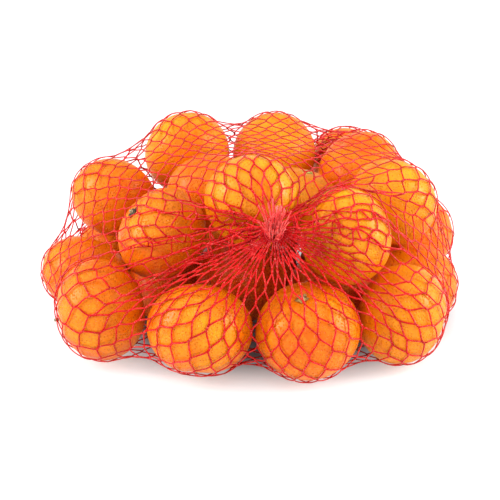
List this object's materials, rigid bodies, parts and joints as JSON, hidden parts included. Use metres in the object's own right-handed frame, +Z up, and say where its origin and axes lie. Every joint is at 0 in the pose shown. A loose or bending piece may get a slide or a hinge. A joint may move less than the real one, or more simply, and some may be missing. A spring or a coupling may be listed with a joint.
{
  "type": "mesh produce bag",
  "caption": "Closed red net bag full of mandarins, gathered and clipped at both ends, lying on its side.",
  "frame": {"origin": "on the floor, under the middle of the whole bag's bounding box", "axes": "+Z up, +Y from the front gather to the rear gather, +X to the right as seen from the front gather"},
  "size_m": [0.2912, 0.2687, 0.1374],
  "materials": {
    "net": "semi-gloss knitted polyethylene strands",
    "peel": "waxy, pored citrus peel",
    "stem": "dry green-brown calyx",
    "clip": "moulded plastic, crimped"
  },
  "bodies": {
    "bag": {"net_bag": "net", "front_clip": "clip", "rear_clip": "clip", "mandarin_01": "peel", "mandarin_02": "peel", "mandarin_03": "peel", "mandarin_04": "peel", "mandarin_05": "peel", "mandarin_06": "peel", "mandarin_07": "peel", "mandarin_08": "peel", "mandarin_09": "peel", "mandarin_10": "peel", "mandarin_11": "peel", "mandarin_12": "peel", "mandarin_13": "peel", "mandarin_14": "peel", "mandarin_15": "peel", "mandarin_16": "peel", "mandarin_17": "peel", "mandarin_18": "peel", "mandarin_19": "peel", "mandarin_20": "peel", "mandarin_21": "peel", "mandarin_22": "peel", "mandarin_23": "peel", "mandarin_24": "peel", "mandarin_25": "peel", "mandarin_26": "peel", "mandarin_27": "peel", "stem_button_01": "stem", "stem_button_02": "stem", "stem_button_03": "stem", "stem_button_04": "stem", "stem_button_05": "stem", "stem_button_06": "stem", "stem_button_07": "stem", "stem_button_08": "stem", "stem_button_09": "stem", "stem_button_10": "stem", "stem_button_11": "stem", "stem_button_12": "stem", "stem_button_13": "stem", "stem_button_14": "stem", "stem_button_15": "stem", "stem_button_16": "stem", "stem_button_17": "stem", "stem_button_18": "stem", "stem_button_19": "stem", "stem_button_20": "stem", "stem_button_21": "stem", "stem_button_22": "stem", "stem_button_23": "stem", "stem_button_24": "stem", "stem_button_25": "stem", "stem_button_26": "stem", "stem_button_27": "stem"},
    "front_tuft": {"front_tuft": "net"},
    "rear_tuft": {"rear_tuft": "net"}
  },
  "joints": [
    {"name": "front_tuft_swing", "type": "hinge", "parent": "bag", "child": "front_tuft", "pos_m": [0.01215, -0.10384, 0.0918], "axis": [1, 0, 0], "range_deg": [-35, 35], "stiffness_Nm_per_rad": 0.003},
    {"name": "rear_tuft_swing", "type": "hinge", "parent": "bag", "child": "rear_tuft", "pos_m": [0.00495, 0.11696, 0.0648], "axis": [1, 0, 0], "range_deg": [-35, 35], "stiffness_Nm_per_rad": 0.003}
  ]
}
